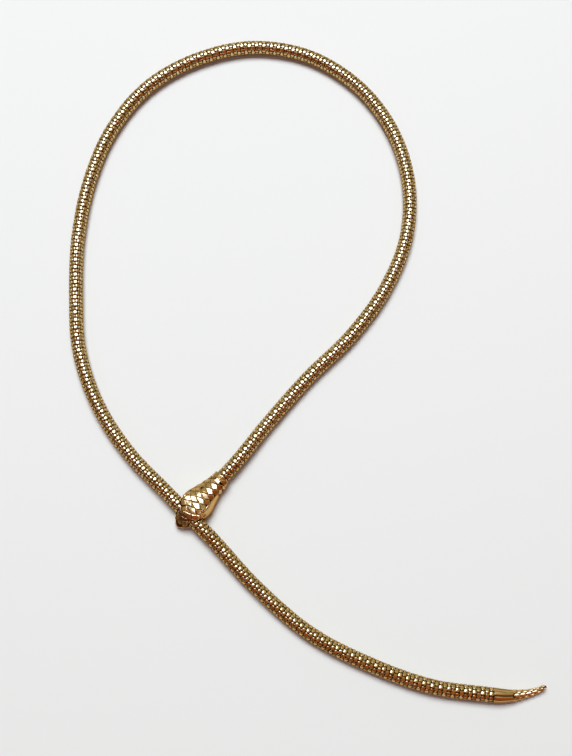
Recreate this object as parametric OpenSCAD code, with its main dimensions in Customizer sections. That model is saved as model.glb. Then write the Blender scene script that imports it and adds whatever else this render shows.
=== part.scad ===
// Snake necklace of tubular mesh, lying flat. The cast head bites its own chain.
// Millimetres. The surface is z = 0, X runs to the right and Y away from the viewer.

/* [Chain] */
// Outer diameter of the tubular mesh
chain_d = 4.4; // [4:0.1:4.5]
// Sides of the plain tube that stands for the mesh
chain_sides = 12; // [8:2:12]

/* [Head] */
// Place of the neck's rim along X
head_x = -24.8; // [-26:0.1:-24]
// Place of the neck's rim along Y
head_y = -42.4; // [-43:0.1:-41]
// Direction in which the snout points, in degrees from +X
head_turn = 227.2; // [224:0.1:230]
// Height of the neck's centre and of the chain in the mouth
neck_z = 3.2; // [3.1:0.05:3.3]
// Radius of the neck
neck_r = 2.75; // [2.7:0.05:2.9]
// Distance from the rim to the middle of the chain in the mouth
mouth_u = 15.5; // [15.2:0.1:15.8]
// Wall of the cast upper head
shell_wall = 0.7; // [0.5:0.05:0.9]
// Length of the rows of scales on top of the head
scale_pitch = 2.05; // [1.8:0.05:2.4]
// Distance between neighbouring columns of scales
scale_step = 1.7; // [1.5:0.05:2]
// Height of the free edge of a scale
scale_lift = 0.36; // [0.2:0.02:0.5]

/* [Jaw] */
// Height of the seam between the head and the lower jaw
seam_z = 1.9; // [1.7:0.05:2]
// Gap at the seam
seam_gap = 0.2; // [0.15:0.05:0.3]
// Thickness of the lower jaw's floor
jaw_floor = 0.7; // [0.6:0.05:0.8]
// Play between the chain and the mouth around it
mouth_gap = 0.22; // [0.18:0.02:0.3]

/* [Hinge] */
// Distance from the rim to the hinge's axis
hinge_u = 1.9; // [1.9:0.05:2.1]
// Height of the hinge's axis
hinge_z = 5.2; // [5.1:0.05:5.25]
// Radius of the hinge's knuckles
knuckle_r = 0.5; // [0.45:0.01:0.55]
// Diameter of the hinge pin
pin_d = 0.5; // [0.4:0.02:0.6]
// Running play around the pin, on the radius
pin_play = 0.04; // [0.03:0.01:0.06]

/* [Tail] */
// Long smooth plates around the base of the tail
leaf_count = 5; // [4:1:6]
// Length of those plates
leaf_length = 5.6; // [5:0.1:6]
// Height of the tail's scales
tail_lift = 0.22; // [0.1:0.02:0.3]

/* [Hidden] */
gold = [0.80, 0.62, 0.28];
pale_gold = [0.88, 0.72, 0.40];

chain_r = chain_d / 2;
// The tube's flats lie on the true radius, so its corners stand a little outside it
corner_r = chain_r / cos(180 / chain_sides);
rings_per_span = 2;

// Route of the chain as x, y and z of its middle: round the loop from the neck to the mouth
LOOP_ROUTE = [
  [-10, -24.5, 2.4], [3, -9.5, 2.2], [17.5, 5, 2.2], [29, 21, 2.2], [36.5, 39.5, 2.2],
  [37.5, 59.5, 2.2], [32, 78.5, 2.2], [20.5, 94.5, 2.2], [4, 105.5, 2.2], [-15.5, 109, 2.2],
  [-35, 104.5, 2.2], [-52, 94, 2.2], [-64, 78, 2.2], [-71, 59, 2.2], [-74, 39.5, 2.2],
  [-74, 19.5, 2.2], [-72, -0.5, 2.2], [-65, -19, 2.2], [-53.5, -35.5, 2.3], [-42.5, -46.5, 2.85]
];
// And on from the mouth to the tail
DROP_ROUTE = [
  [-28.5, -60.5, 2.85], [-13.5, -76.5, 2.25], [4, -91, 2.2], [22, -100, 2.2], [41, -106.5, 2.2],
  [59.5, -109, 2.2]
];
// Straight stretch behind the neck, as distances from the rim, and how far it has sunk at its end
neck_end = 0.5;
neck_lead = -5;
neck_sink = 0.05;

// The cast tail as x, y and z of its middle, and its radius
TAIL = [
  [59.5, -109, 2.2, 2.2], [62.2, -109.2, 2.15, 2.05], [65, -109.2, 1.9, 1.75], [68.2, -108.9, 1.55, 1.35],
  [71.3, -108.3, 1.5, 0.98], [73.7, -107.5, 1.8, 0.74], [75.5, -106.6, 2.2, 0.56], [76, -106.3, 2.35, 0.3]
];
// Corner of a tail plate: along and across as shares of its length and width, height as a share of its lift
TAIL_SHAPE = [
  [0.5, 0, 0.1], [0.1, 0.5, 0.2], [-0.35, 0.34, 0.5], [-0.5, 0, 0.6], [-0.35, -0.34, 0.5], [0.1, -0.5, 0.2]
];
// How far its crown lies back from its middle, as a share of its length
tail_crown = 0.1;
tail_sides = 12;
tail_spans = 16;
tail_root = 0.18;
tail_core_inset = 0.2;
tail_columns = 6;
column_turn = 360 / tail_columns;
tail_pitch = 1.9;
// Scale's length as a share of the pitch, and its width in degrees
tail_fill = 0.95;
tail_scale_width = 64;
// Where the scales start behind the long plates, and stop before the tip
tail_scales_from = leaf_length + 0.6;
tail_tip_bare = 0.8;
leaf_turn = 360 / leaf_count;
leaf_fill = 0.9;
leaf_lift = tail_lift / 2;

// The head's form: distance from the rim, half width at the seam, height of the top
HEAD = [
  [0, 2.75, 5.95], [2.5, 2.95, 6.05], [5, 3.45, 6.3], [8, 4.4, 6.85], [10, 4.95, 7.15],
  [11.5, 5.05, 7.25], [13.2, 4.7, 7.2], [14.2, 4.4, 6.95], [15.4, 4.1, 6.45], [16.8, 3.7, 5.95],
  [18.4, 2.9, 4.95], [19.6, 1.85, 3.8], [20.5, 0.6, 2.7]
];
head_len = 20.5;
// Squareness of the head's section: 1 is an ellipse, less is fuller
fullness = 0.85;
least_half = 0.1;
head_sides = 16;
head_spans = 22;
shell_start = 1.35;
cavity_end = 14;
cavity_spans = 10;
// Length, width and height that reach past the whole head, for cutting it
wide = 12;
high = 8;

// Corner of a scale: along, across as shares of its length and width, height as a share of its lift
SCALE_SHAPE = [
  [0.62, 0, 0.15], [0.1, 0.5, 0.5], [-0.3, 0.34, 0.85], [-0.46, 0, 1], [-0.3, -0.34, 0.85], [0.1, -0.5, 0.5]
];
scale_root = 0.3;
scale_crown = 1.05;
// Scale's length and width as shares of the pitch and the step
scale_fill = 0.98;
scale_spread = 1.12;
// Where the lattice of scales runs on the head, and how far down its sides
scales_from = 3.4;
scales_to = 10.8;
scale_columns = 4;
scales_edge = 66;
// Snout scales
snout_from = 16.2;
snout_to = 19.4;
snout_pitch = 1.35;
snout_step = 1.25;
snout_columns = 2;
snout_lift = scale_lift * 0.7;
// Named plates on the brow: distance from the rim, arc from the crest, length, width, lift
PLATES = [
  [11.9, 1.2, 2.6, 2.3, 0.5], [11.9, -1.2, 2.6, 2.3, 0.5],
  [12.9, 3.3, 4, 1.9, 0.85], [12.9, -3.3, 4, 1.9, 0.85],
  [13.9, 0, 2.2, 2.4, 0.5], [14.7, 1.75, 2, 1.7, 0.55], [14.7, -1.75, 2, 1.7, 0.55]
];
eye_u = 12;
eye_arc = 5;
eye_r = 0.8;
eye_sunk = 0.1;

// Hinge: half width of the middle knuckle, play beside it, half length over all three knuckles
knuckle_w = 0.7;
side_gap = 0.12;
knuckle_out = 1.5;
outer_knuckles = knuckle_w + side_gap;
// Room in front of and below the middle knuckle and below the outer ones, how far the pin stays inside,
// and the play of its seat
swing_gap = 0.15;
shelf_gap = 0.05;
pin_inside = 0.05;
seat_play = 0.03;
leaf_half = 0.45;

// Lower jaw: where it starts, and its top
jaw_start = 0.9;
jaw_top = seam_z - seam_gap / 2;
jaw_spans = 18;
// Its side from the seam down: inset from the head's half width, height, least half width
JAW_SIDE = [[0.05, jaw_top, 0.3], [0.3, 0.8, 0.25], [1.1, 0, 0.15]];
// Hollow in the lower jaw, and how far its floor is narrower than its rim
tray_from = 1.8;
tray_to = 13;
tray_spans = 8;
tray_narrow = 0.5;

// Collar: its ends, the closed disc that the chain's end rests on, the play around the chain
collar_from = -0.6;
collar_end = 1.1;
collar_disc = 0.35;
chain_play = 0.08;
// Bead around the rim
rim_width = 0.5;
rim_proud = 0.12;
// Scales on the collar: distance from the rim, arc from the crest, length, width
COLLAR_SCALES = [[1.35, 0, 2, 1.9], [0.55, 1.7, 1.45, 1.9], [0.55, -1.7, 1.45, 1.9],
  [1.35, 3.4, 2, 1.9], [1.35, -3.4, 2, 1.9]];
// Depth by which soldered pieces run into each other
joined = 0.1;
// How far a cutter reaches past what it cuts
past = 1;

function unit(v) = v / norm(v);

// Running length along a list of points
function chords(p) = [
  for (i = 0, d = 0; i < len(p); i = i + 1, d = d + (i < len(p) ? norm(p[i] - p[i - 1]) : 0)) d
];

// Slope of rows p over keys s at row i
function slope(p, s, i) =
  i == 0 ? (p[1] - p[0]) / (s[1] - s[0])
  : i == len(p) - 1 ? (p[i] - p[i - 1]) / (s[i] - s[i - 1])
  : ((p[i] - p[i - 1]) / (s[i] - s[i - 1]) * (s[i + 1] - s[i])
     + (p[i + 1] - p[i]) / (s[i + 1] - s[i]) * (s[i] - s[i - 1])) / (s[i + 1] - s[i - 1]);

// Smooth value between rows i and i + 1, at the share t of the way
function between(p, s, i, t) =
  let (h = s[i + 1] - s[i])
  p[i] * (2 * t * t * t - 3 * t * t + 1) + slope(p, s, i) * h * (t * t * t - 2 * t * t + t)
  + p[i + 1] * (3 * t * t - 2 * t * t * t) + slope(p, s, i + 1) * h * (t * t * t - t * t);

// Row of keys s that holds the value u
function row_of(s, u, i = 0) = (i >= len(s) - 2 || u < s[i + 1]) ? i : row_of(s, u, i + 1);

// Smooth value at key u
function value_at(p, s, u) = let (i = row_of(s, u)) between(p, s, i, (u - s[i]) / (s[i + 1] - s[i]));

// Point of the head's frame, from the rim along the axis, to the side and up, in the whole model
function head_point(u, w, z) = [
  head_x + u * cos(head_turn) - w * sin(head_turn),
  head_y + u * sin(head_turn) + w * cos(head_turn),
  z
];

// Whole route, with the ends held in line with the head
ROUTE = concat(
  [head_point(neck_end, 0, neck_z), head_point(neck_lead, 0, neck_z - neck_sink)],
  LOOP_ROUTE,
  [head_point(mouth_u, 0, neck_z)],
  DROP_ROUTE
);
MOUTH_ROW = len(LOOP_ROUTE) + 2;
ROUTE_KEYS = chords(ROUTE);
RINGS = [
  for (i = [0 : len(ROUTE) - 2]) for (k = [0 : rings_per_span - 1])
    between(ROUTE, ROUTE_KEYS, i, k / rings_per_span),
  ROUTE[len(ROUTE) - 1]
];
MOUTH_RING = MOUTH_ROW * rings_per_span;

function tangent(p, i) = unit(p[min(i + 1, len(p) - 1)] - p[max(i - 1, 0)]);
function side_of(t) = unit(cross([0, 0, 1], t));

// Ring of n points around p[i], upright to the path
function ring(p, i, r, n) =
  let (t = tangent(p, i), side = side_of(t), up = cross(t, side))
  [for (k = [0 : n - 1]) let (a = 360 * (k + 0.5) / n) p[i] + r * (cos(a) * side + sin(a) * up)];

// Skin over rings of n points each, closed at both ends
module skin(rings) {
  n = len(rings[0]);
  m = len(rings);
  polyhedron(
    points = [for (r = rings) for (q = r) q],
    faces = concat(
      [[for (k = [0 : n - 1]) k]],
      [for (j = [0 : m - 2]) for (k = [0 : n - 1])
        [j * n + k, (j + 1) * n + k, (j + 1) * n + (k + 1) % n, j * n + (k + 1) % n]],
      [[for (k = [n - 1 : -1 : 0]) (m - 1) * n + k]]
    ),
    convexity = 6
  );
}

// Convex plate between two outlines of n points each, with one point more at its crown
module plate(root, top, crown) {
  n = len(root);
  hull() polyhedron(
    points = concat(root, top, [crown]),
    faces = concat(
      [[for (k = [0 : n - 1]) k]],
      [for (k = [0 : n - 1]) [k, n + k, n + (k + 1) % n, (k + 1) % n]],
      [for (k = [0 : n - 1]) [n + k, 2 * n, n + (k + 1) % n]]
    )
  );
}

module tube(from, to) {
  skin([for (i = [from : to]) ring(RINGS, i, corner_r, chain_sides)]);
}

module mesh_loop() {
  color(gold) tube(0, MOUTH_RING);
}

module mesh_drop() {
  color(gold) tube(MOUTH_RING, len(RINGS) - 1);
}

// Half width and top of the head at distance u from the rim
HEAD_KEYS = [for (h = HEAD) h[0]];
HEAD_FORM = [for (h = HEAD) [h[1], h[2]]];
function form(u) = value_at(HEAD_FORM, HEAD_KEYS, u);
function soft(v) = sign(v) * pow(abs(v), fullness);

// Point on the head's skin at distance u and angle a, from 0 at one seam over the top to 180,
// moved out by lift and in by inset
function skin_point(u, a, lift = 0, inset = 0) =
  let (f = form(u), w = max(f[0] - inset, least_half), h = max(f[1] - inset - seam_z, least_half))
  [u, w * soft(cos(a)) + lift * cos(a), seam_z + h * soft(sin(a)) + lift * sin(a)];

// Angle of a point that lies the arc s from the crest
function arc_angle(u, s) = let (f = form(u)) 90 - s / ((f[0] + f[1] - seam_z) / 2) * 180 / PI;

module to_head() {
  translate([head_x, head_y, 0]) rotate([0, 0, head_turn]) children();
}

// Solid under the head's skin between two distances, down to the height floor_z
module under_skin(from, to, spans, inset, floor_z) {
  skin([
    for (j = [0 : spans])
      let (u = from + (to - from) * j / spans)
      concat(
        [for (k = [0 : head_sides]) skin_point(u, 180 * k / head_sides, 0, inset)],
        [[u, skin_point(u, 180, 0, inset)[1], floor_z], [u, skin_point(u, 0, 0, inset)[1], floor_z]]
      )
  ]);
}

// Corner c of a scale at distance u and arc s from the crest, at the given height
function scale_corner(u, s, length, width, c, height) =
  let (v = u + c[0] * length)
  skin_point(v, arc_angle(v, s + c[1] * width), height);

// One scale at distance u and arc s from the crest, its free edge towards the neck
module scale_plate(u, s, length, width, lift) {
  plate(
    [for (c = SCALE_SHAPE) scale_corner(u, s, length, width, c, -scale_root)],
    [for (c = SCALE_SHAPE) scale_corner(u, s, length, width, c, lift * c[2])],
    skin_point(u, arc_angle(u, s), lift * scale_crown)
  );
}

// Staggered rows of scales between two distances
module scale_field(from, to, pitch, step, columns, lift) {
  for (j = [-columns : columns])
    for (u = [from - (abs(j) % 2) * pitch / 2 : pitch : to])
      if (abs(arc_angle(u, j * step) - 90) < scales_edge)
        scale_plate(u, j * step, pitch * scale_fill, step * scale_spread, lift);
}

module mouth_channel() {
  r = corner_r + mouth_gap;
  translate([mouth_u, 0, neck_z]) rotate([90, 0, 0]) cylinder(h = wide, r = r, center = true, $fn = 48);
  translate([mouth_u - r, -wide / 2, 0]) cube([2 * r, wide, neck_z]);
}

module hinge_bar(half, r) {
  translate([hinge_u, 0, hinge_z]) rotate([90, 0, 0]) cylinder(h = 2 * half, r = r, center = true, $fn = 32);
}

// Room for the lower jaw's knuckle and for the swing behind the hinge
module hinge_room() {
  translate([0, -wide / 2, hinge_z - knuckle_r - shelf_gap]) cube([hinge_u, wide, high]);
  translate([0, -outer_knuckles, hinge_z - knuckle_r - swing_gap])
    cube([hinge_u + knuckle_r + swing_gap, 2 * outer_knuckles, high]);
}

module eyes() {
  for (s = [-eye_arc, eye_arc])
    translate(skin_point(eye_u, arc_angle(eye_u, s), -eye_sunk)) sphere(r = eye_r, $fn = 16);
}

module head_casting() {
  difference() {
    union() {
      under_skin(shell_start, head_len, head_spans, 0, seam_z + seam_gap / 2);
      scale_field(scales_from, scales_to, scale_pitch, scale_step, scale_columns, scale_lift);
      scale_field(snout_from, snout_to, snout_pitch, snout_step, snout_columns, snout_lift);
      for (p = PLATES) scale_plate(p[0], p[1], p[2], p[3], p[4]);
      eyes();
    }
    under_skin(0, cavity_end, cavity_spans, shell_wall, 0);
    mouth_channel();
    hinge_room();
    translate([shell_start - wide, -wide, -past]) cube([wide, 2 * wide, wide]);
  }
}

module head_knuckles() {
  difference() {
    hinge_bar(knuckle_out, knuckle_r);
    translate([0, -outer_knuckles, 0]) cube([wide, 2 * outer_knuckles, high]);
  }
}

module head() {
  color(pale_gold) to_head() difference() {
    union() {
      head_casting();
      head_knuckles();
    }
    hinge_bar(knuckle_out + past, pin_d / 2 + seat_play);
  }
}

module hinge_pin() {
  color(gold) to_head() hinge_bar(knuckle_out - pin_inside, pin_d / 2);
}

// Corner k of the lower jaw's section at distance u, on the side 1 or -1
function jaw_corner(u, k, side) = [
  u, side * max(form(u)[0] - JAW_SIDE[k][0], JAW_SIDE[k][2]), JAW_SIDE[k][1]
];
// Section of the lower jaw: flat below, flared to the seam
function jaw_section(u) = [
  jaw_corner(u, 0, 1), jaw_corner(u, 0, -1), jaw_corner(u, 1, -1),
  jaw_corner(u, 2, -1), jaw_corner(u, 2, 1), jaw_corner(u, 1, 1)
];
function tray_section(u) = let (w = form(u)[0] - shell_wall) [
  [u, w, jaw_top], [u, w, jaw_top + past], [u, -w, jaw_top + past], [u, -w, jaw_top],
  [u, -w + tray_narrow, jaw_floor], [u, w - tray_narrow, jaw_floor]
];

module along_u(h, r) {
  rotate([0, 90, 0]) cylinder(h = h, r = r, $fn = 64);
}

module collar() {
  bore_end = collar_end - collar_disc;
  difference() {
    translate([0, 0, neck_z]) union() {
      translate([collar_from, 0, 0]) along_u(collar_end - collar_from, neck_r);
      translate([collar_from, 0, 0]) along_u(rim_width, neck_r + rim_proud);
    }
    translate([collar_from - past, 0, neck_z]) along_u(bore_end - collar_from + past, corner_r + chain_play);
  }
}

// Point on the collar at distance u and arc s from its crest, moved out by lift
function collar_point(u, s, lift) =
  let (a = 90 - s / neck_r * 180 / PI)
  [u, (neck_r + lift) * cos(a), neck_z + (neck_r + lift) * sin(a)];

module collar_scale(u, s, length, width) {
  plate(
    [for (c = SCALE_SHAPE) collar_point(u + c[0] * length, s + c[1] * width, -scale_root)],
    [for (c = SCALE_SHAPE) collar_point(u + c[0] * length, s + c[1] * width, scale_lift * c[2])],
    collar_point(u, s, scale_lift * scale_crown)
  );
}

// Scales on the collar, cut off at its end
module collar_scales() {
  difference() {
    for (p = COLLAR_SCALES) collar_scale(p[0], p[1], p[2], p[3]);
    translate([collar_end, -wide / 2, 0]) cube([wide, wide, high]);
  }
}

module jaw_tray() {
  half = corner_r + mouth_gap;
  difference() {
    skin([for (j = [0 : jaw_spans]) jaw_section(jaw_start + (head_len - jaw_start) * j / jaw_spans)]);
    skin([for (j = [0 : tray_spans]) tray_section(tray_from + (tray_to - tray_from) * j / tray_spans)]);
    translate([mouth_u - half, -wide / 2, jaw_floor]) cube([2 * half, wide, high]);
  }
}

// Leaf that carries the middle knuckle on the collar
module hinge_leaf() {
  from = collar_end - joined;
  translate([from, -knuckle_w, hinge_z - leaf_half]) cube([hinge_u - from, 2 * knuckle_w, 2 * leaf_half]);
}

module lower_jaw() {
  color(pale_gold) to_head() difference() {
    union() {
      jaw_tray();
      collar();
      collar_scales();
      hinge_leaf();
      hinge_bar(knuckle_w, knuckle_r);
    }
    hinge_bar(knuckle_w + past, pin_d / 2 + pin_play);
  }
}

TAIL_MID = [for (t = TAIL) [t[0], t[1], t[2]]];
TAIL_R = [for (t = TAIL) t[3]];
TAIL_KEYS = chords(TAIL_MID);
tail_len = TAIL_KEYS[len(TAIL) - 1];
tangent_step = 0.05;

// Point on the tail at distance t from its base and angle a around it, moved out by lift.
// The base itself is square to the chain's end.
function tail_point(t, a, lift = 0) =
  let (
    mid = value_at(TAIL_MID, TAIL_KEYS, t),
    ahead = value_at(TAIL_MID, TAIL_KEYS, min(t + tangent_step, tail_len)),
    behind = value_at(TAIL_MID, TAIL_KEYS, max(t - tangent_step, 0)),
    along = t > 0 ? unit(ahead - behind) : tangent(RINGS, len(RINGS) - 1),
    side = side_of(along),
    up = cross(along, side),
    r = value_at(TAIL_R, TAIL_KEYS, t) + lift
  )
  mid + r * (cos(a) * side + sin(a) * up);

// Corner c of a plate on the tail, at the given height
function tail_corner(t, a, length, width, c, height) =
  tail_point(max(t + c[0] * length, 0), a + c[1] * width, height);

// Plate on the tail: distance and angle of its middle, length, width as an angle, lift
module tail_plate(t, a, length, width, lift) {
  plate(
    [for (c = TAIL_SHAPE) tail_corner(t, a, length, width, c, -tail_root)],
    [for (c = TAIL_SHAPE) tail_corner(t, a, length, width, c, lift * c[2])],
    tail_point(t - tail_crown * length, a, lift)
  );
}

module tail_core() {
  skin([
    for (j = [0 : tail_spans])
      [for (k = [0 : tail_sides - 1])
        tail_point(tail_len * j / tail_spans, 360 * (k + 0.5) / tail_sides, -tail_core_inset * min(j, 1))]
  ]);
}

module tail() {
  color(pale_gold) union() {
    tail_core();
    for (k = [0 : leaf_count - 1])
      tail_plate(leaf_length / 2, 90 + leaf_turn * (k + 0.5), leaf_length, leaf_turn * leaf_fill, leaf_lift);
    for (j = [0 : tail_columns - 1])
      for (t = [tail_scales_from + (j % 2) * tail_pitch / 2 : tail_pitch : tail_len - tail_tip_bare])
        tail_plate(t, column_turn * (j + 0.5), tail_pitch * tail_fill, tail_scale_width, tail_lift);
  }
}

mesh_loop();
mesh_drop();
lower_jaw();
head();
hinge_pin();
tail();
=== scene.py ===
# Looks of the snake necklace: linked mesh, cast head, jaw and tail, floor, light and camera.
# Tables are in millimetres in the model's frame, and meshes are turned to metres as they are made.
# In the head's frame u runs from the neck's rim to the snout, w to the side and z up.
import math

import bpy
import numpy as np
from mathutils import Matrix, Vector


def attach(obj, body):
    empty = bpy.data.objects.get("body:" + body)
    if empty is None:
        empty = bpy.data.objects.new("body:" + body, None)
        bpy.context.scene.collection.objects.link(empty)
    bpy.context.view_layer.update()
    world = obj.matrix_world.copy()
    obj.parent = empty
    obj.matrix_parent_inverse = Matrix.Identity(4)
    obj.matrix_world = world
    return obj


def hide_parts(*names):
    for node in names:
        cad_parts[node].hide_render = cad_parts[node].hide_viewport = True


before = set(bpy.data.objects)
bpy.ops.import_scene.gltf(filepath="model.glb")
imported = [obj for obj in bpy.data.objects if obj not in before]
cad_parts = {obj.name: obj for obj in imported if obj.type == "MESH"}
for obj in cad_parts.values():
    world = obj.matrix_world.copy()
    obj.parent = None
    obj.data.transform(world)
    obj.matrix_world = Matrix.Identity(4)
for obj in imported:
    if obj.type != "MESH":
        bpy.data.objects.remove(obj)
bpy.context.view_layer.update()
MM = 0.001
chance = np.random.default_rng(7)

# Camera: what it looks at, how far off, its tilt from straight down, and the lens on a 36 mm long side
LOOK_AT = (-4.118, -9.369, 2.2)
CAMERA_DISTANCE = 343.35
CAMERA_TILT = 12.0
CAMERA_LENS, CAMERA_SENSOR = 50.0, 36
# Nearest and farthest distance that it sees, in metres
CAMERA_NEAR, CAMERA_FAR = 0.01, 20

# Chain, as in the solids: radius of its plain tube, sides of the tube, and radius at the sides' corners
CHAIN_R = 2.2
TUBE_SIDES = 12
CORNER_R = CHAIN_R / math.cos(math.pi / TUBE_SIDES)
# How far the links' crowns stand out of the plain tube, and the least height of any point of a link
LINK_PROUD = 0.1
LINK_LOWEST = 0.01
# Head in the model: height of the neck's axis, distance of the mouth's axis, place, turn in degrees
NECK_Z = 3.2
MOUTH_U = 15.5
HEAD_X, HEAD_Y, HEAD_TURN = -24.8, -42.4, 227.2
# Where the chain starts in the collar, how far back it stays in line with the head, and its drop there
NECK_END, NECK_LEAD, NECK_SINK = 0.5, -5, 0.05
LOOP_ROUTE = [
    (-10, -24.5, 2.4), (3, -9.5, 2.2), (17.5, 5, 2.2), (29, 21, 2.2), (36.5, 39.5, 2.2),
    (37.5, 59.5, 2.2), (32, 78.5, 2.2), (20.5, 94.5, 2.2), (4, 105.5, 2.2), (-15.5, 109, 2.2),
    (-35, 104.5, 2.2), (-52, 94, 2.2), (-64, 78, 2.2), (-71, 59, 2.2), (-74, 39.5, 2.2),
    (-74, 19.5, 2.2), (-72, -0.5, 2.2), (-65, -19, 2.2), (-53.5, -35.5, 2.3), (-42.5, -46.5, 2.85),
]
DROP_ROUTE = [
    (-28.5, -60.5, 2.85), (-13.5, -76.5, 2.25), (4, -91, 2.2), (22, -100, 2.2), (41, -106.5, 2.2),
    (59.5, -109, 2.2),
]
# Points worked out along the route, and how far to each side its direction is taken
ROUTE_SAMPLES = 6000
ROUTE_REACH = 0.2

# Links of the mesh: pitch of the rows, pads in a row, half length and half width of a pad, its sides,
# its squareness, where 2 is round, how far its sides fall, and how far single links lean, as a slope
ROW_PITCH = 1.3
PADS_ROUND = 8
PAD_ALONG = 0.59
PAD_ACROSS = 0.75
PAD_SIDES = 16
PAD_SQUARE = 2.6
PAD_DOME = 0.06
PAD_TILT = 0.035
# In rows: from the chain's end to the first row's middle, and how much longer the chain is than its rows
ROW_START, ROW_SPARE = 0.65, 0.3
# Rings of a pad: share of its size, depth below its crown; and the depth at which it is fully dark with
# patina and painted shade, the shade of the gaps between pads
PAD_RINGS = [(0.45, 0.01), (0.84, 0.065), (0.96, 0.13), (1.0, 0.23), (0.97, 0.38)]
PAD_PATINA_AND_SHADE_DEPTH = 0.4
# Middle line of one arm: along, across, depth; its half width and half height; wear and painted shade round
# its section, darkest on its underside
ARM_LINE = [(-0.3, 0.36, 0.36), (-0.75, 0.42, 0.33), (-1.0, 0.56, 0.42), (-1.35, 0.7, 0.6)]
ARM_HALF_WIDTH = 0.15
ARM_HALF_HEIGHT = 0.1
ARM_WEAR_AND_SHADE = [0.2, 0.4, 0.2, 0.0]
# Folded tongue under each pad, painted fully dark as the shade in the gaps: ends along, half width, depth of
# its face, thickness
SHADE_TONGUE = (-1.75, 0.9, 0.42, 0.56, 0.12)
PIECES_OF_LOOP = 3
# Turn of the columns of pads about the chain: distance along it in mm, degrees
ROLL = [
    (0, 8), (25, 10), (60, 10), (100, 4), (120, 0), (150, -3), (185, 6), (205, 11), (240, 11), (270, 11),
    (290, 11), (305, 1), (335, -2), (358, 4), (375, 11), (420, 8), (470, 6), (505, 10), (530, 11),
]

# Head: distance from the rim, half width at the seam, height of the top
HEAD = [
    (0, 2.75, 5.95), (2.5, 2.95, 6.05), (5, 3.45, 6.3), (8, 4.4, 6.85), (10, 4.95, 7.15),
    (11.5, 5.05, 7.25), (13.2, 4.7, 7.2), (14.2, 4.4, 6.95), (15.4, 4.1, 6.45), (16.8, 3.7, 5.95),
    (18.4, 2.9, 4.95), (19.6, 1.85, 3.8), (20.5, 0.6, 2.7),
]
HEAD_LEN = 20.5
HEAD_ROWS, HEAD_COLUMNS = 340, 240
SEAM_Z = 1.9
SEAM_GAP = 0.2
# Squareness of the head's section by distance: 1 is a round arch
FULLNESS = [(0, 0.85), (9, 0.85), (13, 0.74), (16, 0.64), (20.5, 0.62)]
# The upper lip stands back from the lower one at the snout: distances of start and end, step
LIP_FROM, LIP_TO, LIP_STEP = 14.8, 17.5, 0.45
# Least half width and height that the skin is drawn in to, and how far its corners go below its floor
SKIN_LEAST, CORNER_DROP = 0.1, 0.001
# Where the upper head starts, and the wall of both castings
SHELL_START = 1.35
SHELL_WALL = 0.7
# Hollow inside the head: where it starts and ends, its lowest point, rows and columns
CAVITY_START, CAVITY_END, CAVITY_FLOOR = 0.5, 14, 0.5
CAVITY_ROWS, CAVITY_COLUMNS = 28, 33
# Round mouth that closes over the chain: play round the chain, radius, sides
MOUTH_PLAY = 0.22
MOUTH_R = CORNER_R + MOUTH_PLAY + LINK_PROUD
MOUTH_SIDES = 64
# Half width of cutters that go through the whole head
CUT_HALF = 6

# Columns of scales: arc from the crest, distances of the first and last scale, rise to the right
SCALE_COLUMNS = [
    (0.6, 1.35, 15.8, 0.18), (2.3, 0.32, 15.0, 0.06), (-1.1, 0.32, 15.0, 0.2), (4.0, 1.35, 4.0, 0.08),
    (4.0, 11.6, 14.0, 0.12), (-2.8, 1.35, 14.0, 0.0), (-4.5, 2.37, 12.7, -0.03),
]
SCALE_PITCH = 2.05
SCALE_LENGTH, SCALE_WIDTH = 2.0, 3.3
# Corners of a scale as shares of its length and width, and the steepness of the side after each corner
SCALE_OUTLINE = [(0.5, 0), (0.0, 0.5), (-0.5, 0), (0.0, -0.5)]
SCALE_SIDES = (2.2, 0.9, 0.9, 2.2)
# Height of a scale's middle, and its rise towards the snout on the neck and on the brow
SCALE_LIFT, NECK_RISE, BROW_RISE = 0.22, -0.08, 0.1
# Distances where the neck's rise ends and the brow's begins
RISE_SPAN = (9, 12)
# How far the tilts of single scales swing, and how fast that changes with distance
RISE_SWAY, LEAN_SWAY, SWAY_TURN = 0.07, 0.12, 2.3
# How flat the face of a scale is: 1 is a plane, 0 follows the skin
FACE_FLATNESS = 0.8
# Brow ridges: distance, arc from the crest, half length, half width, height
BROW_U, BROW_ARC, BROW_LONG, BROW_WIDE, BROW_LIFT = 12.9, 3.5, 1.9, 1.1, 0.42
# Small scales of the snout: distances of the first and last, pitch along and across, height, rise
SNOUT_FROM, SNOUT_TO, SNOUT_PITCH, SNOUT_STEP, SNOUT_LIFT, SNOUT_RISE = 16.3, 19.4, 1.3, 0.95, 0.13, -0.05
# Their columns to each side of the crest, and their length and width as shares of the pitches
SNOUT_COLUMNS, SNOUT_LONG, SNOUT_WIDE = 4, 0.98, 1.9
# Painted shade on the snout, as the share of brightness it keeps, and the distances over which it falls to
# that
SNOUT_PAINTED_SHADE, SNOUT_PAINTED_SHADE_SPAN = 0.35, (15.0, 16.4)
# Eyes: distance, arc from the crest, radius, how deep the middle lies
EYE_U, EYE_ARC, EYE_R, EYE_SUNK = 12.0, 5.0, 0.8, 0.1
# Smooth cheeks below the scales: arc from the crest, side, distances of start and end; height and edge
CHEEKS = [(3.15, 1, 4.4, 13.6), (5.4, -1, 3.0, 12.5)]
CHEEK_LIFT, CHEEK_EDGE = 0.2, 0.3
# Height from which relief is fully bright; lower skin between the scales is darker with patina and painted
# shade
SHADE_AND_WEAR_HEIGHT = 0.12

# Hinge: place of its axis. Knuckles: radius, half width of the middle one, end of the others, play between
HINGE_U, HINGE_Z = 1.9, 5.2
KNUCKLE_R, KNUCKLE_W, KNUCKLE_OUT, SIDE_GAP = 0.5, 0.7, 1.5, 0.12
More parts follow.
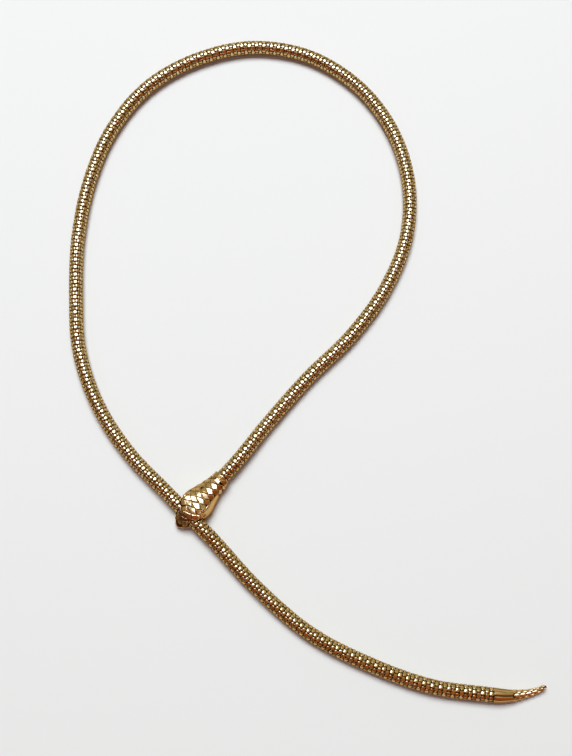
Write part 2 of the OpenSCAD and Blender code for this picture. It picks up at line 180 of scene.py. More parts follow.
# Rounded ends of the head's knuckles: radius at the very end, length of the rounding
KNUCKLE_END_R, KNUCKLE_END = 0.44, 0.06
# Pin: radius, play in the jaw's bore and in the head's seat, half lengths of the cutters for these two
PIN_R, PIN_PLAY, PIN_SEAT_PLAY = 0.25, 0.04, 0.03
PIN_BORE_HALF, PIN_SEAT_HALF = 2, 3
# Section cut off the head's rear, as distances and heights; room and top of the middle knuckle's notch
HINGE_SLOPE = [(0, 3.9), (0.4, 3.9), (2.77, 8), (0, 8)]
NOTCH_ROOM, NOTCH_TOP = 0.65, 12
# Leaf of the jaw's casting that carries the middle knuckle and closes the notch
HINGE_LEAF = [(0.9, 4.75), (2.2, 4.8), (2.4, 5.5), (2.02, 6.2), (0.9, 6.12)]

# Lower jaw: where it starts, heights of its top and of the floor inside it, rows, wear
JAW_START = 0.9
JAW_TOP = SEAM_Z - SEAM_GAP / 2
JAW_FLOOR = 0.7
JAW_ROWS = 70
JAW_WEAR = 0.9
# Side of the jaw from the seam down: inset from the half width, height
JAW_SIDE = [(0.05, JAW_TOP), (0.18, 1.3), (0.42, 0.55), (1.1, 0.0)]
JAW_SIDE_POINTS = 13
# Least half width of the jaw, and the top of the cutter that lets the chain through
JAW_LEAST = 0.15
CHANNEL_TOP = 5
# Hollow of the jaw: where it starts and ends, rows; its section as side, inset and height
TRAY_FROM, TRAY_TO, TRAY_ROWS = 1.8, 13, 30
TRAY_SECTION = [
    (1, 0, SEAM_Z + 1), (-1, 0, SEAM_Z + 1), (-1, 0, JAW_TOP),
    (-1, 0.5, JAW_FLOOR), (1, 0.5, JAW_FLOOR), (1, 0, JAW_TOP),
]

# Collar: radius, where it and its bore start and end, radii of the bore and of the rim
NECK_R = 2.75
COLLAR_FROM, COLLAR_END = -0.6, 1.1
COLLAR_BORE_FROM, COLLAR_BORE_END = -2, 0.75
COLLAR_BORE_R = CORNER_R + 0.08
RIM_R = NECK_R + 0.12
# Bead at the rim: distance from the collar's start, radius
RIM_PROFILE = [
    (0, COLLAR_BORE_R + 0.12), (0.02, RIM_R - 0.1), (0.09, RIM_R - 0.02),
    (0.2, RIM_R), (0.31, RIM_R - 0.03), (0.38, NECK_R - 0.06),
]
# Body after the bead: its start from the collar's start, and the length and depth of its rounded end
COLLAR_BODY, COLLAR_ROUND, COLLAR_SINK = 0.42, 0.03, 0.08
COLLAR_ROWS, COLLAR_SIDES = 50, 300
# The collar's scales are shaped for a skin this much flatter than it is
COLLAR_FLATTER = 1.4

# Tail: middle line and radius
TAIL = [
    (59.5, -109, 2.2, 2.2), (62.2, -109.2, 2.15, 2.05), (65, -109.2, 1.9, 1.75),
    (68.2, -108.9, 1.55, 1.35), (71.3, -108.3, 1.5, 0.98), (73.7, -107.5, 1.8, 0.74),
    (75.5, -106.6, 2.2, 0.56), (76, -106.3, 2.35, 0.3),
]
# Rows and sides of its skin, and how far to each side its direction is taken
TAIL_ROWS, TAIL_SIDES = 240, 96
TAIL_REACH = 0.05
# Leaves at its base: count, length, how much longer in the middle, height, groove between, wear
LEAF_COUNT, LEAF_LENGTH, LEAF_POINT, LEAF_LIFT, LEAF_GROOVE, LEAF_WEAR = 5, 5.6, 0.9, 0.3, 0.06, 0.8
# Steepness of a leaf's sides and end, width of its edge, and height of its sides as a share of its middle
LEAF_SIDE, LEAF_END, LEAF_EDGE, LEAF_LOW = 1.2, 0.9, 0.25, 0.6
# Scales behind them: columns, pitch, height, rise towards the tip, half length and width as shares
TAIL_COLUMNS, TAIL_PITCH, TAIL_LIFT, TAIL_RISE = 6, 1.95, 0.4, 0.65
TAIL_SCALE_LONG, TAIL_SCALE_WIDE = 0.56, 1.12
# Share of the height at a scale's middle, and the least share
TAIL_MIDDLE, TAIL_LEAST = 0.8, 0.15
# From the leaves' length to the first scale and to the end of their wear, and the tip without scales
TAIL_FIRST, LEAF_WEAR_END, TAIL_BARE = 0.6, 0.5, 0.5
# How far the skin under the relief lies in, and the lengths over which that and the relief set in
TAIL_INSET, TAIL_INSET_OVER, TAIL_RELIEF_OVER = 0.2, 0.3, 0.2
# Height from which the tail's relief is fully bright; its hollows are darker with patina and painted shade
TAIL_SHADE_AND_WEAR_HEIGHT = 0.2
# Rounded tip: its length, the length that the round is drawn for, and the least square of its share
TIP_ROUND, TIP_DRAWN, TIP_LEAST = 0.45, 0.46, 0.02

# Edges sharper than this many degrees stay crisp
LINK_SHARP, HEAD_SHARP, JAW_SHARP, TAIL_SHARP = 22, 65, 50, 40

# Gold: tint of its mirror image at grazing angles, which keeps grey out of the gaps
EDGE_TINT = (0.45, 0.24, 0.08, 1)
# Blotches: scale and detail of the noise, its range, and the shades that it gives
BLOTCH_SCALE, BLOTCH_DETAIL, BLOTCH_SPAN, BLOTCH_SHADES = 420, 3, (0.3, 0.7), (0.86, 1.04)
# Grain: scale and detail of the noise, and its depth in metres
GRAIN_SCALE, GRAIN_DETAIL, GRAIN_DEPTH = 2600, 2, 0.00003
# Paper: its colour, its painted reflection colour and painted glow, which show only in the gold's mirror
# image, roughness and sheen
PAPER, PAPER_PAINTED_REFLECTION, PAPER_PAINTED_GLOW = (0.86, 0.87, 0.88), (0.52, 0.47, 0.38), (0.08, 0.04, 0.02)
PAPER_ROUGHNESS, PAPER_SHEEN = 0.7, 0.2
# Floor: half its side, and its height
FLOOR_HALF, FLOOR_Z = 3000, -0.02

# Room that the gold mirrors: colours towards -Y and +Y, where one turns to the other, strength by height
ROOM_NEAR, ROOM_FAR, ROOM_SPAN = (0.17, 0.048, 0.012), (0.35, 0.30, 0.15), (-0.4, 0.6)
ROOM_HEIGHTS, ROOM_STRENGTHS = (0.0, 0.9), (0.8, 1.3)
# Light from all round on matt skins, and the backdrop that the camera sees past the floor
FILL, BACKDROP = (0.195, 0.125, 0.118), (0.80, 0.80, 0.81)
# Lights: name, degrees from straight up towards +X and +Y, distance and size in metres, radiance,
# colour, whether it lights matt skins, and whether the gold mirrors it
LIGHTS = [
    ("key", -3, 25, 1.9, (1.07, 0.86), 13.3, (0.89, 0.962, 0.954), True, False),
    ("window", -8, 25, 1.0, (0.76, 0.66), 3.5, (0.9, 1.06, 1.62), False, True),
    ("warm_card", 12, -44, 0.92, (1.22, 0.75), 0.12, (1.0, 0.16, 0.015), False, True),
]
# What the lights turn towards, in metres
LIT_POINT = (-0.018, 0, 0)


# Curves

def hermite(keys, values, at):
    """Smooth rows of values at the given keys, by the solids' own rule."""
    keys, values, at = (np.asarray(a, float) for a in (keys, values, at))
    step = np.diff(keys)[:, None]
    rise = np.diff(values, axis=0) / step
    inner = (rise[:-1] * step[1:] + rise[1:] * step[:-1]) / (step[:-1] + step[1:])
    slope = np.vstack([rise[:1], inner, rise[-1:]])
    i = np.clip(np.searchsorted(keys, at, side="right") - 1, 0, len(step) - 1)
    h = step[i]
    t = (at - keys[i])[:, None] / h
    return (
        values[i] * (2 * t**3 - 3 * t**2 + 1) + slope[i] * h * (t**3 - 2 * t**2 + t)
        + values[i + 1] * (3 * t**2 - 2 * t**3) + slope[i + 1] * h * (t**3 - t**2)
    )


def chords(points):
    """Distance along the points, from the first to each."""
    return np.r_[0, np.cumsum(np.linalg.norm(np.diff(points, axis=0), axis=1))]


def unit(v):
    """The same directions, each one long."""
    return v / np.linalg.norm(v, axis=-1, keepdims=True)


def circle(sides):
    """Angles of evenly spaced points round a circle."""
    return np.linspace(0, 2 * math.pi, sides, endpoint=False)


def wrapped(angle):
    """The same angle between -pi and pi."""
    return (angle + math.pi) % (2 * math.pi) - math.pi


def head_point(u, w, z):
    """Points of the head's frame in the whole model."""
    a = math.radians(HEAD_TURN)
    u, w, z = np.broadcast_arrays(*(np.asarray(c, float) for c in (u, w, z)))
    x = HEAD_X + u * math.cos(a) - w * math.sin(a)
    y = HEAD_Y + u * math.sin(a) + w * math.cos(a)
    return np.stack([x, y, z], axis=-1)


# Meshes

def new_piece(name, points, faces):
    """Object of a mesh given in millimetres. faces is a list of arrays, one for each number of corners."""
    mesh = bpy.data.meshes.new(name)
    points = np.asarray(points, float).reshape(-1, 3)
    mesh.vertices.add(len(points))
    mesh.vertices.foreach_set("co", (points * MM).ravel())
    faces = [np.asarray(f) for f in faces]
    corners = np.concatenate([f.ravel() for f in faces])
    sizes = np.concatenate([np.full(len(f), f.shape[1]) for f in faces])
    mesh.loops.add(len(corners))
    mesh.loops.foreach_set("vertex_index", corners)
    mesh.polygons.add(len(sizes))
    mesh.polygons.foreach_set("loop_start", np.r_[0, np.cumsum(sizes)[:-1]])
    mesh.update(calc_edges=True)
    mesh.validate()
    piece = bpy.data.objects.new(name, mesh)
    bpy.context.scene.collection.objects.link(piece)
    return piece


def set_wear_and_shade(piece, wear_and_shade):
    """Says for each point how bright it is: 1 is bare gold and 0 is patina and painted shade."""
    layer = piece.data.attributes.new("wear_and_shade", "FLOAT", "POINT")
    layer.data.foreach_set("value", np.asarray(wear_and_shade, float).ravel())


def grid_faces(rows, columns):
    """Quads of a grid of rows by columns of points, whose last column joins the first."""
    j = np.arange(rows - 1)[:, None]
    k = np.arange(columns)[None, :]
    after = (k + 1) % columns
    this_row, next_row = j * columns, (j + 1) * columns
    quads = np.stack([this_row + k, next_row + k, next_row + after, this_row + after], -1)
    return quads.reshape(-1, 4)


def lofted(name, rings):
    """Closed solid through rings, an array of rows by points by three."""
    rows, columns = rings.shape[:2]
    first = np.arange(columns)[None, :]
    last = (rows * columns - 1 - np.arange(columns))[None, :]
    return new_piece(name, rings, [grid_faces(rows, columns), first, last])


def box(name, low, high):
    """Box in the head's frame."""
    (u0, w0, z0), (u1, w1, z1) = low, high
    square = [(w1, z0), (w1, z1), (w0, z1), (w0, z0)]
    rings = [[head_point(u, w, z) for w, z in square] for u in (u0, u1)]
    return lofted(name, np.array(rings))


def prism(name, section, half):
    """Solid of one section of distances and heights, drawn anticlockwise, across the head."""
    rings = [[head_point(u, w, z) for u, z in section] for w in (-half, half)]
    return lofted(name, np.array(rings))


def turned(name, u, z, profile, sides=48):
    """Solid turned about a line across the head at u and z, from rows of side distance and radius."""
    turn = circle(sides)
    rings = [head_point(u + r * np.cos(turn), w, z + r * np.sin(turn)) for w, r in profile]
    return lofted(name, np.array(rings))


def bar(name, u, z, half, radius, sides=48):
    """Round bar across the head at u and z."""
    return turned(name, u, z, [(-half, radius), (half, radius)], sides)


def lathed(name, profile, z, sides=96):
    """Solid turned about the head's long axis at height z, from rows of distance and radius."""
    turn = circle(sides)
    rings = [head_point(u, r * np.cos(turn), z + r * np.sin(turn)) for u, r in profile]
    return lofted(name, np.array(rings))


def combine(piece, operation, other):
    """Cuts or joins the other piece into this one, and removes it."""
    step = piece.modifiers.new("combine", "BOOLEAN")
    step.operation = operation
    step.solver = "MANIFOLD"
    step.object = other
    done = bpy.data.meshes.new_from_object(piece.evaluated_get(bpy.context.evaluated_depsgraph_get()))
    piece.modifiers.clear()
    piece.data = done
    bpy.data.objects.remove(other)


def finish_piece(piece, body, nodes, material, sharp):
    """Smooth shading with crisp edges, material, and the piece's place in the frame."""
    piece.data.materials.clear()
    piece.data.materials.append(material)
    piece.data.polygons.foreach_set("material_index", np.zeros(len(piece.data.polygons), int))
    piece.data.polygons.foreach_set("use_smooth", np.ones(len(piece.data.polygons), bool))
    piece.data.set_sharp_from_angle(angle=math.radians(sharp))
    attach(piece, body)
    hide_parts(*nodes)


# Materials

def new_material(name):
    """Material with its node tree and its shader."""
    material = bpy.data.materials.new(name)
    material.use_nodes = True
    return material, material.node_tree, material.node_tree.nodes["Principled BSDF"]


def colour_mix(tree, factor, first, second):
    """Colour that goes from the first to the second as the factor goes from 0 to 1."""
    mix = tree.nodes.new("ShaderNodeMix")
    mix.data_type = "RGBA"
    mix.inputs["A"].default_value = (*first, 1)
    mix.inputs["B"].default_value = (*second, 1)
    tree.links.new(factor, mix.inputs["Factor"])
    return mix.outputs["Result"]


def ranged(tree, value, before, after):
    """Value moved from one range of low and high to another."""
    move = tree.nodes.new("ShaderNodeMapRange")
    move.inputs["From Min"].default_value = before[0]
    move.inputs["From Max"].default_value = before[1]
    move.inputs["To Min"].default_value = after[0]
    move.inputs["To Max"].default_value = after[1]
    tree.links.new(value, move.inputs["Value"])
    return move.outputs["Result"]


def noise(tree, place, scale, detail):
    """Noise that stays in place on the object."""
    made = tree.nodes.new("ShaderNodeTexNoise")
    made.inputs["Scale"].default_value = scale
    made.inputs["Detail"].default_value = detail
    tree.links.new(place, made.inputs["Vector"])
    return made.outputs["Fac"]


def gold(name, bright, patina_and_shade, roughness, patina_and_shade_roughness, bump):
    """Polished gold-tone metal: patina and painted shade where the piece is dark in its wear-and-shade
    attribute, faint blotches and a fine grain.
    """
    material, tree, shader = new_material(name)
    shader.inputs["Metallic"].default_value = 1.0
    shader.inputs["Specular Tint"].default_value = EDGE_TINT
    attribute = tree.nodes.new("ShaderNodeAttribute")
    attribute.attribute_name = "wear_and_shade"
    wear_and_shade = attribute.outputs["Fac"]
    place = tree.nodes.new("ShaderNodeTexCoord").outputs["Object"]
    blotch = noise(tree, place, BLOTCH_SCALE, BLOTCH_DETAIL)
    varied = tree.nodes.new("ShaderNodeVectorMath")
    varied.operation = "SCALE"
    # Patina and painted shade: the dark colour where the attribute is low
    tree.links.new(colour_mix(tree, wear_and_shade, patina_and_shade, bright), varied.inputs[0])
    tree.links.new(ranged(tree, blotch, BLOTCH_SPAN, BLOTCH_SHADES), varied.inputs["Scale"])
    tree.links.new(varied.outputs["Vector"], shader.inputs["Base Color"])
    tree.links.new(ranged(tree, wear_and_shade, (0, 1), (patina_and_shade_roughness, roughness)), shader.inputs["Roughness"])
    relief = tree.nodes.new("ShaderNodeBump")
    relief.inputs["Strength"].default_value = bump
    relief.inputs["Distance"].default_value = GRAIN_DEPTH
    tree.links.new(noise(tree, place, GRAIN_SCALE, GRAIN_DETAIL), relief.inputs["Height"])
    tree.links.new(relief.outputs["Normal"], shader.inputs["Normal"])
    return material


def paper():
    """Matt white floor, with a painted reflection: darker, and with a painted glow, where the polished metal
    mirrors it.
    """
    material, tree, shader = new_material("paper")
    mirrored = tree.nodes.new("ShaderNodeLightPath").outputs["Is Glossy Ray"]
    # Painted reflection colour and painted glow, seen only in the gold's mirror image
    tree.links.new(colour_mix(tree, mirrored, PAPER, PAPER_PAINTED_REFLECTION), shader.inputs["Base Color"])
    shader.inputs["Emission Color"].default_value = (*PAPER_PAINTED_GLOW, 1)
    tree.links.new(mirrored, shader.inputs["Emission Strength"])
    shader.inputs["Roughness"].default_value = PAPER_ROUGHNESS
    shader.inputs["Specular IOR Level"].default_value = PAPER_SHEEN
    return material


# Each gold: colours of the bare metal and of its patina and painted shade, their roughness, strength of the
# grain
MESH_GOLD = gold("mesh_gold", (0.97, 0.79, 0.41), (0.1, 0.036, 0.003), 0.15, 0.3, 0.12)
CAST_GOLD = gold("cast_gold", (0.99, 0.775, 0.405), (0.1, 0.038, 0.005), 0.21, 0.3, 0.12)
PIN_GOLD = gold("pin_gold", (0.95, 0.74, 0.42), (0.80, 0.58, 0.30), 0.2, 0.2, 0.2)


# Chain

def chain_frames():
    """Every row's distance, middle and directions along, to the side and up, and the row at the mouth."""
    lead = [head_point(NECK_END, 0, NECK_Z), head_point(NECK_LEAD, 0, NECK_Z - NECK_SINK)]
    route = np.array([*lead, *LOOP_ROUTE, head_point(MOUTH_U, 0, NECK_Z), *DROP_ROUTE])
    keys = chords(route)
    samples = np.linspace(0, keys[-1], ROUTE_SAMPLES)
    fine = hermite(keys, route, samples)
    run = chords(fine)
    mouth_key = keys[len(lead) + len(LOOP_ROUTE)]
    mouth = np.interp(mouth_key, samples, run)
    rows = int(run[-1] / ROW_PITCH)
    pitch = run[-1] / (rows + ROW_SPARE)
    at = pitch * (ROW_START + np.arange(rows))
    middle, ahead, behind = (
        np.stack([np.interp(at + d, run, fine[:, c]) for c in range(3)], -1)
        for d in (0, ROUTE_REACH, -ROUTE_REACH)
    )
    along = unit(ahead - behind)
    side = unit(np.cross([0, 0, 1], along))
    return at, middle, along, side, np.cross(along, side), int(np.searchsorted(at, mouth))


def pad_outline():
    """Rounded square of one pad, as along and across."""
    turn = circle(PAD_SIDES)
    power = 2 / PAD_SQUARE
    along = PAD_ALONG * np.sign(np.cos(turn)) * abs(np.cos(turn)) ** power
    across = PAD_ACROSS * np.sign(np.sin(turn)) * abs(np.sin(turn)) ** power
    return np.stack([along, across], -1)


def pad_template():
    """Domed pad of a link: points, wear and painted shade that darkens its sides with depth, and its
    triangles, quads and bottom.
    """
    outline = pad_outline()
    points, shade_and_wear = [(0.0, 0.0, 0.0)], [1.0]
    for share, depth in PAD_RINGS:
        for x, y in outline:
            points.append((x * share, y * share, -depth - PAD_DOME * (y * share / PAD_ACROSS) ** 2))
        # Patina and painted shade: the pad's sides darken with depth below its crown
        shade_and_wear += [1 - depth / PAD_PATINA_AND_SHADE_DEPTH] * PAD_SIDES
    k = np.arange(PAD_SIDES)
    after = (k + 1) % PAD_SIDES
    triangles = np.stack([np.zeros(PAD_SIDES, int), 1 + k, 1 + after], -1)
    quads = 1 + grid_faces(len(PAD_RINGS), PAD_SIDES)
    last = 1 + (len(PAD_RINGS) - 1) * PAD_SIDES
    return points, shade_and_wear, triangles, quads, last + k[::-1][None, :]


def arm_template(hand):
    """One arm that runs down to the row behind: points, wear and painted shade, and quads."""
    line = np.array(ARM_LINE) * (1, hand, -1)
    across = unit(np.cross(unit(np.gradient(line, axis=0)), [0, 0, 1]))
    up = np.array([0, 0, ARM_HALF_HEIGHT])
    points = []
    for p, c in zip(line, across):
        points += [p + c * ARM_HALF_WIDTH, p + up, p - c * ARM_HALF_WIDTH, p - up]
    start = np.array([[0, 1, 2, 3]])
    end = 4 * (len(line) - 1) + start[:, ::-1]
    return points, ARM_WEAR_AND_SHADE * len(line), np.concatenate([grid_faces(len(line), 4)[:, ::-1], start, end])


def shade_tongue_template():
    """Folded strip under the pad, which closes the mesh and is painted fully dark as the shade in the gaps:
    points, shade and quads.
    """
    back, front, half, depth, thick = SHADE_TONGUE
    face, under = -depth, -depth - thick
    points = []
    for x in (back, front):
        points += [(x, half, face), (x, half, under), (x, -half, under), (x, -half, face)]
    ends = np.array([[0, 1, 2, 3], [7, 6, 5, 4]])
    # Painted shade: the tongue is fully dark
    return points, [0.0] * len(points), np.concatenate([grid_faces(2, 4)[:, ::-1], ends])


def link_template():
    """One link lying flat: points as along, across and out from the chain's skin, faces, and wear and painted
    shade.
    """
    points, shade_and_wear, triangles, quads, bottom = pad_template()
    quads = [quads]
    for more_points, more_wear, more_quads in (arm_template(1), arm_template(-1), shade_tongue_template()):
        quads.append(len(points) + more_quads)
        points += [tuple(p) for p in more_points]
        shade_and_wear += more_wear
    return np.array(points), [triangles, np.concatenate(quads), bottom], np.array(shade_and_wear)


def link_points(shape, angle, middle, along, side, up):
    """Points of the links at these angles round the chain, each a little out of true."""
    radial = np.cos(angle) * side + np.sin(angle) * up
    across = -np.sin(angle) * side + np.cos(angle) * up
    lean = chance.normal(0, PAD_TILT, (len(angle), 2))
    out = unit(radial + lean[:, :1] * along + lean[:, 1:] * across)
    across = unit(across - np.sum(across * out, -1, keepdims=True) * out)
    forward = np.cross(across, out)
    centre = middle + (CHAIN_R + LINK_PROUD) * radial
    points = (
        centre[:, None] + shape[None, :, :1] * forward[:, None]
        + shape[None, :, 1:2] * across[:, None] + shape[None, :, 2:] * out[:, None]
    )
    points[..., 2] = np.maximum(points[..., 2], LINK_LOWEST)
    return points


def linked_mesh():
    """The tubular mesh: rows of links, staggered by half a pad, split into a few pieces."""
    at, *frames, mouth_row = chain_frames()
    shape, faces, shade_and_wear = link_template()
    table = np.array(ROLL)
    roll = np.radians(hermite(table[:, 0], table[:, 1:], at)[:, 0])
    cuts = [round(mouth_row * k / PIECES_OF_LOOP) for k in range(PIECES_OF_LOOP + 1)] + [len(at)]
    names = [f"loop_links_{k + 1}" for k in range(PIECES_OF_LOOP)] + ["drop_links"]
    step = 2 * math.pi / PADS_ROUND
    for name, first, end in zip(names, cuts[:-1], cuts[1:]):
        rows = np.arange(first, end)
        angle = roll[rows, None] + step * (np.arange(PADS_ROUND)[None, :] + 0.5 * (rows[:, None] % 2))
        row = np.repeat(rows, PADS_ROUND)
        points = link_points(shape, angle.ravel()[:, None], *(f[row] for f in frames))
        offset = (np.arange(len(row)) * len(shape))[:, None, None]
        groups = [(f[None] + offset).reshape(-1, f.shape[1]) for f in faces]
        piece = new_piece(name, points, groups)
        set_wear_and_shade(piece, np.tile(shade_and_wear, len(row)))
        node = "mesh_drop" if name == "drop_links" else "mesh_loop"
        finish_piece(piece, "necklace", [node], MESH_GOLD, LINK_SHARP)


# Raised scales, as heights over a grid

def scale_height(along, across, length, width, lift, rise, lean, radius):
    """Height of one lozenge over points given from its middle: a flat face with steep sides."""
    height = lift + rise * along + lean * across + FACE_FLATNESS * across**2 / (2 * radius)
    corners = np.array(SCALE_OUTLINE) * (length, width)
    for (x0, y0), (x1, y1), steep in zip(corners, np.roll(corners, -1, axis=0), SCALE_SIDES):
        normal = np.array([-(y1 - y0), x1 - x0]) / math.hypot(x1 - x0, y1 - y0)
        inside = (along - x0) * normal[0] + (across - y0) * normal[1]
        height = np.minimum(height, inside * steep)
    return np.maximum(height, 0)


def raise_scale(relief, u, arc, u0, s0, size):
    """Lifts the relief to one scale at distance u0 and arc s0. size starts with its length and width."""
    near = (abs(u - u0) < size[0] / 2) & (abs(arc - s0) < size[1] / 2)
    relief[near] = np.maximum(relief[near], scale_height(u[near] - u0, arc[near] - s0, *size))


def scale_relief(u, arc, radius):
    """Height of all the staggered scales over distances and arcs from the crest, on a skin of this radius."""
    relief = np.zeros(arc.shape)
    for s0, first, last, lean in SCALE_COLUMNS:
        for u0 in np.arange(first, last, SCALE_PITCH):
            rise = np.interp(u0, RISE_SPAN, (NECK_RISE, BROW_RISE))
            sway = math.sin(SWAY_TURN * u0 + s0)
            tilts = (rise + RISE_SWAY * sway, lean + LEAN_SWAY * sway)
            raise_scale(relief, u, arc, u0, s0, (SCALE_LENGTH, SCALE_WIDTH, SCALE_LIFT, *tilts, radius(u0)))
    return relief


# Head

def form(u):
    """Half width and top of the head at distances u."""
    table = np.array(HEAD)
    return hermite(table[:, 0], table[:, 1:], np.asarray(u, float))


def soft_power(v, u):
    """Sines or cosines of a round section, squared up by the head's fullness at u."""
    power = np.interp(u, *zip(*FULLNESS))[:, None]
    return np.sign(v) * abs(v) ** power


def head_skin(u, turn, lift, inset):
    """Points of the head's frame on its skin, with turn from 0 at one seam over the top to pi."""
    half_width, top = form(u).T
    lip = LIP_STEP * np.interp(u, (LIP_FROM, LIP_TO), (0, 1))
    half = np.maximum(half_width - inset - lip, SKIN_LEAST)[:, None]
    height = np.maximum(top - inset - SEAM_Z, SKIN_LEAST)[:, None]
    w = half * soft_power(np.cos(turn), u) + lift * np.cos(turn)
    z = SEAM_Z + height * soft_power(np.sin(turn), u) + lift * np.sin(turn)
    return np.broadcast_to(u[:, None], w.shape), w, z


def under_skin(name, u, turn, lift, inset, floor_z):
    """Closed solid under the head's skin, down to floor_z. Each ring ends with two corners below it."""
    ring = np.stack(head_skin(u, turn, lift, inset), -1)
    ring[..., 2] = np.maximum(ring[..., 2], floor_z)
    left, right = ring[:, -1:].copy(), ring[:, :1].copy()
    left[..., 2] = right[..., 2] = floor_z - CORNER_DROP
    ring = np.concatenate([ring, left, right], axis=1)
    return lofted(name, head_point(ring[..., 0], ring[..., 1], ring[..., 2]))


def head_radius(u):
    """Mean radius of the head's section."""
    half_width, top = form(np.atleast_1d(u)).T
    return (half_width + top - SEAM_Z) / 2


def snout_relief(along, arc):
    """Height of the snout's small scales, in staggered columns."""
    relief = np.zeros(arc.shape)
    length, width = SNOUT_PITCH * SNOUT_LONG, SNOUT_STEP * SNOUT_WIDE
    for j in range(-SNOUT_COLUMNS, SNOUT_COLUMNS + 1):
        for u0 in np.arange(SNOUT_FROM - abs(j) % 2 * SNOUT_PITCH / 2, SNOUT_TO, SNOUT_PITCH):
            size = (length, width, SNOUT_LIFT, SNOUT_RISE, 0.0, head_radius(u0)[0])
            raise_scale(relief, along, arc, u0, j * SNOUT_STEP, size)
    return relief


def head_relief(u, turn):
    """Height of scales, brows and eyes over the head's skin, and how bright each point is: relief and eyes
    bright, hollows darker with patina and painted shade, and the snout darker with painted shade.
    """
    arc = head_radius(u)[:, None] * (math.pi / 2 - turn[None, :])
    along = np.broadcast_to(u[:, None], arc.shape)
    relief = scale_relief(along, arc, lambda u0: head_radius(u0)[0])
    relief = np.maximum(relief, snout_relief(along, arc))
    for start, side, first, last in CHEEKS:
        inside = np.minimum(side * arc - start, np.minimum(along - first, last - along))
        relief = np.maximum(relief, CHEEK_LIFT * np.clip(inside / CHEEK_EDGE, 0, 1))
    # Hollows between the scales are darker with patina and painted shade; the snout is darker still with
    # painted shade
    wear_and_shade = np.clip(relief / SHADE_AND_WEAR_HEIGHT, 0, 1) * np.interp(along, SNOUT_PAINTED_SHADE_SPAN, (1, SNOUT_PAINTED_SHADE))
    brow = ((along - BROW_U) / BROW_LONG) ** 2 + ((abs(arc) - BROW_ARC) / BROW_WIDE) ** 2
    relief = relief + BROW_LIFT * np.exp(-brow)
    for s0 in (-EYE_ARC, EYE_ARC):
        off = np.hypot(along - EYE_U, arc - s0)
        ball = np.sqrt(np.maximum(EYE_R**2 - off**2, 0)) - EYE_SUNK
        wear_and_shade = np.where(ball > relief, 1, wear_and_shade)
        relief = np.maximum(relief, ball)
    return relief, wear_and_shade


def cut_mouth(piece):
    """Hollow of the head, and the round mouth that is open downwards."""
    u = np.linspace(CAVITY_START, CAVITY_END, CAVITY_ROWS)
    turn = np.linspace(0, math.pi, CAVITY_COLUMNS)
    cavity = under_skin("cavity", u, turn, 0.0, SHELL_WALL, CAVITY_FLOOR)
    combine(piece, "DIFFERENCE", cavity)
    combine(piece, "DIFFERENCE", bar("mouth", MOUTH_U, NECK_Z, CUT_HALF, MOUTH_R, MOUTH_SIDES))
    low, high = (MOUTH_U - MOUTH_R, -CUT_HALF, 0), (MOUTH_U + MOUTH_R, CUT_HALF, NECK_Z)
    combine(piece, "DIFFERENCE", box("mouth_sides", low, high))


def cut_hinge(piece):
    """Rear slope, notch, two knuckles with rounded ends, and the pin's seat."""
    outer = KNUCKLE_W + SIDE_GAP
    combine(piece, "DIFFERENCE", prism("hinge_slope", HINGE_SLOPE, CUT_HALF))
    low, high = (0, -outer, HINGE_Z - NOTCH_ROOM), (HINGE_U + NOTCH_ROOM, outer, NOTCH_TOP)
    combine(piece, "DIFFERENCE", box("hinge_notch", low, high))
    half = (KNUCKLE_OUT - outer) / 2
    places = (-half, -half + KNUCKLE_END, half - KNUCKLE_END, half)
    radii = (KNUCKLE_END_R, KNUCKLE_R, KNUCKLE_R, KNUCKLE_END_R)
    for hand in (-1, 1):
        middle = hand * (outer + KNUCKLE_OUT) / 2
        profile = [(middle + w, r) for w, r in zip(places, radii)]
        combine(piece, "UNION", turned("knuckle", HINGE_U, HINGE_Z, profile))
    combine(piece, "DIFFERENCE", bar("pin_seat", HINGE_U, HINGE_Z, PIN_SEAT_HALF, PIN_R + PIN_SEAT_PLAY))


def cast_head():
    """Hollow upper head with its relief, its mouth and its two hinge knuckles."""
    u = np.linspace(SHELL_START, HEAD_LEN, HEAD_ROWS)
    turn = np.linspace(0, math.pi, HEAD_COLUMNS)
    relief, wear_and_shade = head_relief(u, turn)
    piece = under_skin("upper_head", u, turn, relief, 0.0, SEAM_Z + SEAM_GAP / 2)
    set_wear_and_shade(piece, np.concatenate([wear_and_shade, np.zeros((len(u), 2))], axis=1))
    cut_mouth(piece)
    cut_hinge(piece)
    finish_piece(piece, "upper_head", ["head"], CAST_GOLD, HEAD_SHARP)


# Jaw and collar

def cast_collar():
    """Closed collar with a rim bead, raised scales on its upper side and rounded ends."""
    u_rim, r_rim = np.array(RIM_PROFILE).T
    u_body = np.linspace(COLLAR_FROM + COLLAR_BODY, COLLAR_END - COLLAR_ROUND, COLLAR_ROWS)
    u = np.r_[COLLAR_FROM + u_rim, u_body, COLLAR_END]
    radius = np.r_[r_rim, np.full(len(u_body), NECK_R), NECK_R - COLLAR_SINK]
    turn = circle(COLLAR_SIDES)
    uu, arcs = np.meshgrid(u, NECK_R * wrapped(math.pi / 2 - turn), indexing="ij")
    relief = scale_relief(uu, arcs, lambda u0: NECK_R * COLLAR_FLATTER)
    relief[: len(u_rim)] = 0
    out = radius[:, None] + relief
    return lofted("collar", head_point(uu, out * np.cos(turn), NECK_Z + out * np.sin(turn)))


